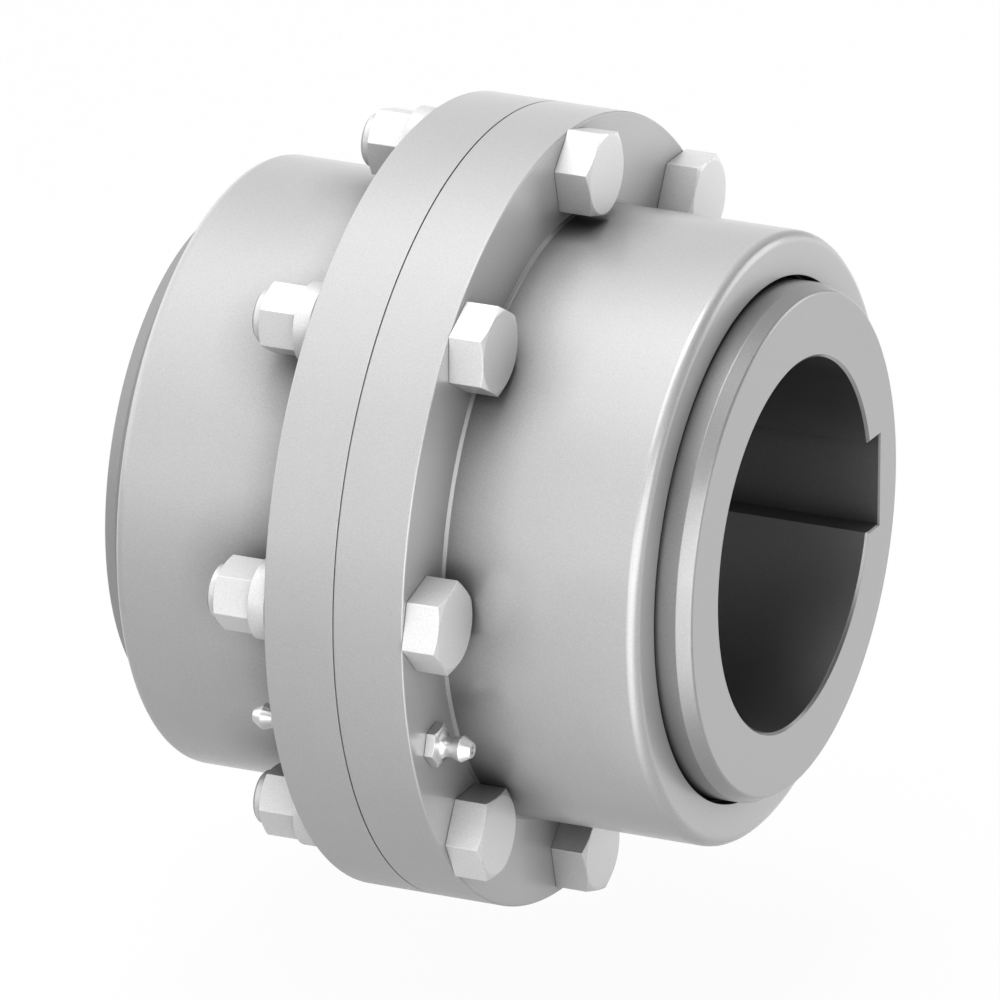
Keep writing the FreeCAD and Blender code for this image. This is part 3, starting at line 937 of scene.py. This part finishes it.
@dataclass
class Hexagon:
    """A hexagon block with softly rounded corners, foot and bevel edge.

    The foot is given by heights and insets, and the edge by drops below the bevel and insets.
    """

    flats: float
    turn: float
    corner: float = 0.35
    foot: tuple[Pair, ...] = ((0.0, 0.25), (0.08, 0.07), (0.28, 0.0))
    edge: tuple[Pair, ...] = ((0.2, 0.0), (0.024, 0.06), (0.0, 0.2))
    flat_steps: int = 10
    corner_steps: int = 4

    def angles(self) -> list[float]:
        """The turns at which its outline has points, in radians.

        Returns:
            The turns, closer together round the corners.
        """
        tip = self._tip_angle()
        span = math.radians(60.0) - 2.0 * tip
        turns: list[float] = []
        for k in range(6):
            corner = math.radians(self.turn + 60.0 * k)
            turns += [corner + tip * (2.0 * j / self.corner_steps - 1.0) for j in range(self.corner_steps)]
            turns += [corner + tip + span * j / self.flat_steps for j in range(self.flat_steps)]
        return turns

    def _tip_reach(self) -> float:
        """How far the middle of a corner's rounding lies from the hexagon's."""
        return (self.flats / 2.0 - self.corner) / math.cos(math.pi / 6.0)

    def _tip_angle(self) -> float:
        """Half the angle that a rounded corner takes up."""
        return math.atan2(self.corner * 0.5, self._tip_reach() + self.corner * math.cos(math.pi / 6.0))

    def out(self, angle: float) -> float:
        """How far the outline lies from the middle.

        Args:
            angle: The direction, in radians.

        Returns:
            The distance, in mm.
        """
        third = math.pi / 3.0
        off = (angle - math.radians(self.turn) + third / 2.0) % third - third / 2.0
        if abs(off) < self._tip_angle():
            reach = self._tip_reach()
            return reach * math.cos(off) + math.sqrt(self.corner**2 - (reach * math.sin(off)) ** 2)
        return self.flats / 2.0 / math.cos(third / 2.0 - abs(off))

    def ring(self, height: float | Callable[[float], float], inset: float = 0.0, drop: float = 0.0) -> Ring:
        """A ring along the outline.

        Args:
            height: Its height, or what gives it from the distance out.
            inset: How far it lies inside the outline.
            drop: How far it lies below that height.

        Returns:
            The ring.
        """
        made: Ring = []
        for a in self.angles():
            out = self.out(a) - inset
            rise = height(out) if callable(height) else height
            made.append((out * math.cos(a), out * math.sin(a), rise - drop))
        return made

    def sides(self, bevel: Callable[[float], float]) -> list[Ring]:
        """The block's sides, from the foot up to the bevel, whose height follows from the distance out."""
        foot = [self.ring(height, inset) for height, inset in self.foot]
        return foot + [self.ring(bevel, inset, drop) for drop, inset in self.edge]


@dataclass
class Fasteners:
    """The bolts that hold the flanges together, with their washers and nuts."""

    turn: float = 15.8
    bevel_slope: float = 22.5
    head_flats: float = 24.0
    head_height: float = 10.8
    head_top: float = 11.7
    crown_out: float = 0.25
    crown_drop: float = 0.03
    crown_in: float = 0.3
    shank: float = 8.0
    shank_length: float = 42.8
    shank_bevel: float = 0.6
    shank_root: float = 0.3
    thread: float = 6.0
    thread_bevel: float = 1.0
    thread_neck: float = 1.0
    washer_out: float = 12.0
    washer_in: float = 6.5
    washer_height: float = 5.6
    washer_bevel: Pair = (0.4, 0.35)
    washer_soft: float = 0.1
    washer_round: float = 0.45
    washer_mouth_rounds: Pair = (0.2, 0.4)
    washer_facets: int = 96
    nut_flats: float = 19.0
    nut_height: float = 11.8
    nut_top: float = 9.3
    nut_bore: float = 6.1
    nut_mouth: float = 0.8
    nut_crown: Pair = (0.1, 0.4)
    nut_soft: float = 0.2
    collar: float = 7.8
    collar_height: float = 3.1
    collar_bevel: float = 0.8
    collar_mouth: float = 0.5
    collar_foot_round: float = 0.25
    collar_mouth_round: float = 0.1

    def bolt(self) -> Blank:
        """A bolt: its head stands on the local XY plane and its shank hangs below.

        Returns:
            The blank.
        """
        head = Hexagon(self.head_flats, self.turn)
        bevel = cone(self.head_height, self.head_top, self.bevel_slope)
        end = -(2.0 * FLANGE.face + self.washer_height + self.nut_height + self.collar_height)
        shaft = [
            (end, self.thread - self.thread_bevel),
            (end + self.thread_bevel, self.thread),
            (-self.shank_length - self.thread_neck, self.thread),
            (-self.shank_length, self.shank - self.shank_bevel),
            (-self.shank_length + self.shank_bevel, self.shank),
            (-self.shank_root, self.shank),
            (0.0, self.shank + self.shank_root),
        ]
        top = [
            (bevel(self.head_top + self.crown_out), self.head_top + self.crown_out),
            (self.head_height - self.crown_drop, self.head_top),
            (self.head_height, self.head_top - self.crown_in),
        ]
        angles = head.angles()
        return Blank().skin(turned_rings(shaft, angles) + head.sides(bevel) + turned_rings(top, angles))

    def washer(self) -> Blank:
        """A heavy washer, standing on the local XY plane.

        Returns:
            The blank.
        """
        rise, inset = self.washer_bevel
        low_round, high_round = self.washer_mouth_rounds
        outline = rounded(
            Corner(0.0, self.washer_in, low_round),
            Corner(0.0, self.washer_out - inset, self.washer_soft),
            Corner(rise, self.washer_out, self.washer_soft),
            Corner(self.washer_height, self.washer_out, self.washer_round),
            Corner(self.washer_height, self.washer_in, high_round),
        )
        return turned(outline, self.washer_facets)

    def nut(self) -> Blank:
        """A nut with a round locking collar, standing on the local XY plane.

        Returns:
            The blank.
        """
        block = Hexagon(self.nut_flats, -self.turn)
        bevel = cone(self.nut_height, self.nut_top, self.bevel_slope)
        top = self.nut_height + self.collar_height
        bore = [
            (top - self.collar_mouth, self.nut_bore),
            (self.nut_mouth, self.nut_bore),
            (0.0, self.nut_bore + self.nut_mouth),
        ]
        edge, rim = (self.nut_top - inset for inset in self.nut_crown)
        collar = rounded(
            Corner(bevel(edge), edge),
            Corner(self.nut_height, rim, self.nut_soft),
            Corner(self.nut_height, self.collar, self.collar_foot_round),
            Corner(top - self.collar_bevel, self.collar, self.nut_soft),
            Corner(top, self.collar - self.collar_bevel, self.nut_soft),
            Corner(top, self.nut_bore + self.collar_mouth, self.collar_mouth_round),
            Corner(top - self.collar_mouth, self.nut_bore),
            closed=False,
        )
        angles = block.angles()
        rings = turned_rings(bore, angles) + block.sides(bevel) + turned_rings(collar[:-1], angles)
        return Blank().skin(rings, looped=True)

    def build(self, shop: Workshop) -> None:
        """Makes every bolt, washer and nut.

        Args:
            shop: Where they are made.
        """
        rim = (self.nut_height + self.collar_height - self.collar_bevel) * MM

        def finish(middle: Vector, normal: Vector) -> int:
            """The collar's bevel is darker than the rest of the nut: painted shade for the dark surroundings
            it reflects.
            """
            return int(middle.z > rim and not lies_across(normal))

        for k in range(FLANGE.bolts):
            angle = 360.0 * k / FLANGE.bolts
            head = outward_matrix(Side.DRIVEN, FLANGE.face, FLANGE.bolt_circle, angle)
            foot = outward_matrix(Side.DRIVING, FLANGE.face, FLANGE.bolt_circle, angle)
            stand = outward_matrix(
                Side.DRIVING, FLANGE.face + self.washer_height, FLANGE.bolt_circle, angle
            )
            bolt, washer = self.bolt().mesh("bolt"), self.washer().mesh("washer")
            nut, steels = self.nut().mesh("nut"), [NUT_STEEL, SHADED_COLLAR_STEEL]
            shop.piece(f"flange_bolt_{k + 1}", "turned", bolt, head, Slot.BOLT, [BOLT_STEEL])
            shop.piece(f"bolt_washer_{k + 1}", "turned", washer, foot, Slot.WASHER, [NUT_STEEL])
            shop.piece(f"bolt_nut_{k + 1}", "turned", nut, stand, Slot.NUT, steels, finish)


@dataclass
class Lubrication:
    """The grease nipples with their check balls, and the plugs opposite them."""

    flats: float = 11.3
    turn: float = -8.7
    seat: float = 3.1
    seat_top: float = 5.35
    seat_slope: float = 30.0
    seat_corner: float = 0.2
    seat_soft: float = 0.02
    seat_foot: tuple[Pair, ...] = ((0.0, 0.1), (0.12, 0.0))
    seat_edge: tuple[Pair, ...] = ((0.15, 0.0), (0.02, 0.05), (0.0, 0.15))
    shank: float = 4.9
    shank_length: float = 8.0
    shank_bevel: float = 0.5
    waist: float = 2.95
    flare: float = 2.35
    flare_steps: int = 8
    waist_length: float = 0.8
    waist_round: float = 0.5
    bulge: float = 3.95
    bulge_rise: float = 3.2
    bulge_round: float = 0.45
    cone_rise: float = 3.1
    tip: float = 2.2
    tip_round: float = 0.25
    bore: float = 1.35
    lip: float = 1.0
    lip_thickness: float = 0.5
    lip_round: float = 0.12
    ball: float = 1.25
    ball_play: float = 0.03
    ball_steps: int = 24
    plug_length: float = 9.0
    plug_inset: float = 0.5
    plug_bevel: float = 0.4
    socket: float = 5.0
    socket_depth: float = 4.0
    socket_bevel: float = 0.15
    socket_corner: float = 0.15

    def top(self) -> float:
        """The nipple's height above the flange."""
        return self.seat + self.flare + self.waist_length + self.bulge_rise + self.cone_rise

    def nipple(self, side: Side) -> Blank:
        """A grease nipple, with its shank below the local XY plane.

        Args:
            side: The half it is on, which turns its hexagon.

        Returns:
            The blank.
        """
        block = Hexagon(self.flats, self.turn * side.value, self.seat_corner, self.seat_foot, self.seat_edge)
        bevel = cone(self.seat, self.seat_top, self.seat_slope)
        top, low = self.top(), -self.shank_length
        inside = [
            (top - self.lip_thickness, self.lip),
            (top - self.lip_thickness, self.bore),
            (low, self.bore),
            (low, self.shank - self.shank_bevel),
            (low + self.shank_bevel, self.shank),
            (0.0, self.shank),
        ]
        outline = [(self.seat - self.seat_soft, self.seat_top - self.seat_soft)]
        for k in range(self.flare_steps + 1):
            swing = math.pi / 2.0 * k / self.flare_steps
            along = self.seat + self.flare * (1.0 - math.cos(swing))
            outline.append((along, self.waist + self.flare - self.flare * math.sin(swing)))
        neck = self.seat + self.flare + self.waist_length
        outline += rounded(
            Corner(self.seat + self.flare, self.waist),
            Corner(neck, self.waist, self.waist_round),
            Corner(neck + self.bulge_rise, self.bulge, self.bulge_round),
            Corner(top, self.tip, self.tip_round),
            Corner(top, self.lip, self.lip_round),
            Corner(top - self.lip_thickness, self.lip),
            closed=False,
        )[1:-1]
        angles = block.angles()
        rings = turned_rings(inside, angles) + block.sides(bevel) + turned_rings(outline, angles)
        return Blank().skin(rings, looped=True)

    def check_ball(self) -> Blank:
        """The ball behind the nipple's lip, on the nipple's own axis.

        Returns:
            The blank.
        """
        drop = math.sqrt(self.ball**2 - self.lip**2)
        middle = self.top() - self.lip_thickness - drop - self.ball_play
        swings = [math.pi * k / self.ball_steps for k in range(1, self.ball_steps)]
        outline = [(middle - self.ball * math.cos(a), self.ball * math.sin(a)) for a in swings]
        return Blank().skin(turned_rings(outline, even_angles(48)))

    def plug(self) -> Blank:
        """A flush plug with a hexagon socket.

        Returns:
            The blank.
        """
        socket = Hexagon(self.socket, 0.0, self.socket_corner)
        top = -self.plug_inset
        low = top - self.plug_length
        outline = [
            (low, self.shank - self.shank_bevel),
            (low + self.shank_bevel, self.shank),
            (top - self.plug_bevel, self.shank),
            (top, self.shank - self.plug_bevel),
        ]
        rings = turned_rings(outline, socket.angles())
        rings.append(socket.ring(top, -self.socket_bevel))
        rings.append(socket.ring(top - self.socket_bevel))
        rings.append(socket.ring(top - self.socket_depth))
        return Blank().skin(rings)

    def build(self, shop: Workshop) -> None:
        """Makes both nipples, balls and plugs.

        Args:
            shop: Where they are made.
        """
        for side in Side:
            word = side.word
            at_nipple = outward_matrix(side, FLANGE.face, FLANGE.port_circle, FLANGE.nipple_angle)
            at_plug = outward_matrix(side, FLANGE.face, FLANGE.port_circle, FLANGE.plug_angle)
            nipple, ball = self.nipple(side).mesh("nipple"), self.check_ball().mesh("ball")
            plug = self.plug().mesh("plug")
            shop.piece(f"{word}_grease_nipple", "turned", nipple, at_nipple, Slot.NIPPLE, [NIPPLE_STEEL])
            shop.piece(
                f"{word}_nipple_ball", "turned", ball, at_nipple, Slot.BALL, [BALL_STEEL],
                body=f"{word}_ball",
            )
            shop.piece(f"{word}_lube_plug", "turned", plug, at_plug, Slot.PLUG, [BOLT_STEEL])


@dataclass
class Gaskets:
    """The rubber seals in the sleeves' mouths and the jointing between the flanges."""

    seal_start: float = 72.55
    seal_width: float = 5.4
    seal_in: float = 77.0
    seal_out: float = 82.0
    seal_rounds: Pair = (0.5, 0.3)
    seal_facets: int = 280
    thickness: float = 0.4
    inside: float = 86.4
    outside: float = 116.4
    punch_half: float = 1.0
    facets: int = 360

    def seal(self) -> Blank:
        """A rubber ring with softened corners.

        Returns:
            The blank.
        """
        low, high = self.seal_start, self.seal_start + self.seal_width
        inner_round, outer_round = self.seal_rounds
        outline = rounded(
            Corner(low, self.seal_in, inner_round),
            Corner(low, self.seal_out, outer_round),
            Corner(high, self.seal_out, outer_round),
            Corner(high, self.seal_in, inner_round),
        )
        return turned(outline, self.seal_facets)

    def jointing(self) -> Blank:
        """The flat ring between the flanges, before its bolt holes are punched.

        Returns:
            The blank.
        """
        half = self.thickness / 2.0
        flat = [(-half, self.inside), (-half, self.outside), (half, self.outside), (half, self.inside)]
        return turned(flat, self.facets)

    def punches(self) -> Blank:
        """What punches the bolt holes.

        Returns:
            The punches.
        """
        blank = Blank()
        outline = [(-self.punch_half, FLANGE.bolt_hole), (self.punch_half, FLANGE.bolt_hole)]
        for turn in even_angles(FLANGE.bolts):
            blank.skin(drill_rings(outline, FLANGE.bolt_circle, turn))
        return blank

    def build(self, shop: Workshop) -> None:
        """Makes the seals and the jointing.

        Args:
            shop: Where they are made.
        """
        for side in Side:
            seal, place = self.seal().mesh("seal"), outward_matrix(side)
            shop.piece(f"{side.word}_seal", "moulded", seal, place, Slot.SEAL, [SEAL_RUBBER])
        ring = shop.cut(self.jointing().mesh("jointing"), self.punches().mesh("punches"))
        place = outward_matrix(Side.DRIVEN)
        shop.piece("flange_gasket", "cut", ring, place, Slot.GASKET, [GASKET_FIBRE])


# Studio and camera


@dataclass
class Studio:
    """The floor, the lamps, the surroundings and the camera."""

    floor_height: float = -0.145
    floor_half: float = 6.0
    floor_grey: float = 0.84
    floor_white: float = 0.94
    # The floor as metal mirrors it is a painted reflection: a glow, dim at the front and under the coupling,
    # rising behind and to its brightest in a wedge at the front right.
    floor_mirrored: float = 0.85
    floor_glow: float = 0.48
    floor_bright: float = 2.4
    rear_rise: float = 8.0
    wedge_rise: float = 12.0
    wedge_side: float = 0.02
    wedge_front: float = 0.05
    wedge_slant: float = 0.45
    room_bright: float = 1.85
    room_mirrored: float = 0.1
    lamp_distance: float = 3.0
    lamp_size: float = 1.6
    azimuth: float = 24.48914
    elevation: float = 20.42773
    lean: float = 0.45
    distance: float = 4.752
    lens: float = 587.0
    sensor: float = 36.0
    sight: Pair = (0.5, 60.0)
    aside: Pair = (-0.000811, -0.000434)

    def floor(self) -> None:
        """Lays the pale floor.

        Seen only in reflections, it glows as a painted reflection: dim in front of and under the coupling, a
        painted shadow, brighter behind it, and brightest in a wedge at its front right, a painted highlight.
        """
        half = self.floor_half
        mesh = bpy.data.meshes.new("floor")
        corners = [(-half, -half, 0.0), (half, -half, 0.0), (half, half, 0.0), (-half, half, 0.0)]
        mesh.from_pydata(corners, [], [(0, 1, 2, 3)])
        made = linked("floor", mesh)
        made.location = (0.0, 0.0, self.floor_height)
        material, graph = new_material("pale_floor")
        path = graph.node("ShaderNodeLightPath")
        camera, glossy = graph.value(path, "Is Camera Ray"), graph.value(path, "Is Glossy Ray")
        x, y, _ = graph.place()
        # Painted reflection: the glow that glossy rays see rises behind the coupling and peaks in a wedge at
        # its front right; the dimmer front is painted shadow.
        behind = (1.0 - self.floor_glow) * (self.rear_rise * y).clamped()
        front = self.wedge_rise * (-1.0 * y - self.wedge_slant * x - self.wedge_front)
        painted_highlight_wedge = (self.wedge_rise * (x - self.wedge_side)).clamped() * front.clamped()
        painted_reflection_level = behind + (self.floor_bright - self.floor_glow) * painted_highlight_wedge + self.floor_glow
        level = camera + glossy * painted_reflection_level
        shade = graph.blend(1.0 / self.floor_bright * level, 0.0, 1.0)
        dull = graph.node("ShaderNodeBsdfDiffuse", {"Color": (*[self.floor_grey] * 3, 1.0)})
        glow = graph.node("ShaderNodeEmission", {"Color": shade, "Strength": self.floor_bright})
        seen = (self.floor_white * camera + self.floor_mirrored * glossy).clamped()
        graph.node("ShaderNodeOutputMaterial", {"Surface": graph.mixed(seen, dull, glow)})
        mesh.materials.append(material)

    def surroundings(self) -> None:
        """Makes the pale surroundings, brightest beyond the driving half."""
        world = bpy.data.worlds.new("pale_room")
        bpy.context.scene.world = world
        world.use_nodes = True
        graph = Graph(world.node_tree)
        path = graph.node("ShaderNodeLightPath")
        direct = graph.value(path, "Is Camera Ray") + graph.value(path, "Is Transmission Ray")
        seen = (direct + self.room_mirrored * graph.value(path, "Is Glossy Ray")).clamped()
        along, _, _ = graph.place("Generated")
        level = self.room_bright * (0.5 * (1.0 - along)) ** 2.0
        plain = (1.0, 1.0, 1.0, 1.0)
        room = graph.node("ShaderNodeBackground", {"Color": plain, "Strength": level})
        white = graph.node("ShaderNodeBackground", {"Color": plain, "Strength": 1.0})
        graph.node("ShaderNodeOutputWorld", {"Surface": graph.mixed(seen, room, white)})

    def lamp(self, name: str, way: Point, power: float, tall: float = 1.0) -> None:
        """Hangs a soft lamp that points at the coupling.

        Args:
            name: The lamp's name.
            way: The direction in which it hangs.
            power: Its power, in watts.
            tall: How many times as tall as wide it is.
        """
        light = bpy.data.lights.new(name, "AREA")
        light.shape, light.size, light.energy = "ELLIPSE", self.lamp_size, power
        light.size_y = self.lamp_size * tall
        made = linked(name, light)
        made.location = Vector(way).normalized() * self.lamp_distance
        made.rotation_mode = "QUATERNION"
        made.rotation_quaternion = (-made.location).to_track_quat("-Z", "Y")

    def camera(self) -> None:
        """Sets up the camera at the photograph's viewing angle."""
        data = bpy.data.cameras.new("camera")
        data.lens, data.sensor_width = self.lens, self.sensor
        data.clip_start, data.clip_end = self.sight
        made = linked("camera", data)
        lean = Matrix.Rotation(math.radians(self.lean), 4, "X")
        swing = Matrix.Rotation(math.radians(self.azimuth), 4, "Z")
        rise = Matrix.Rotation(math.radians(90.0 - self.elevation), 4, "X")
        made.matrix_world = lean @ swing @ rise @ Matrix.Translation((*self.aside, self.distance))
        bpy.context.scene.camera = made

    def build(self) -> None:
        """Sets up the whole studio."""
        self.floor()
        self.surroundings()
        self.lamp("top_lamp", (0.0, 0.0, 1.0), 36.0)
        self.lamp("slanted_lamp", (0.0, -0.5, 0.85), 17.0)
        self.lamp("front_lamp", (0.1, -1.0, 0.1), 16.0)
        self.lamp("front_right_lamp", (0.6, -0.8, 0.15), 30.0, 1.8)
        self.lamp("right_lamp", (0.92, -0.4, 0.15), 27.0, 1.5)
        self.lamp("rear_right_lamp", (0.55, 0.75, 0.2), 15.0)
        self.camera()
        bpy.context.scene.view_settings.view_transform = "Standard"


def main() -> None:
    """Builds the coupling round its frame."""
    logging.basicConfig(level=logging.INFO, format="%(message)s")
    for thing in list(bpy.data.objects):
        bpy.data.objects.remove(thing)
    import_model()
    shop = Workshop()
    for group in (Hubs(), Sleeves(), Fasteners(), Lubrication(), Gaskets()):
        group.build(shop)
    Studio().build()
    LOG.info("%d pieces made", len(shop.made))


if __name__ == "__main__":
    main()
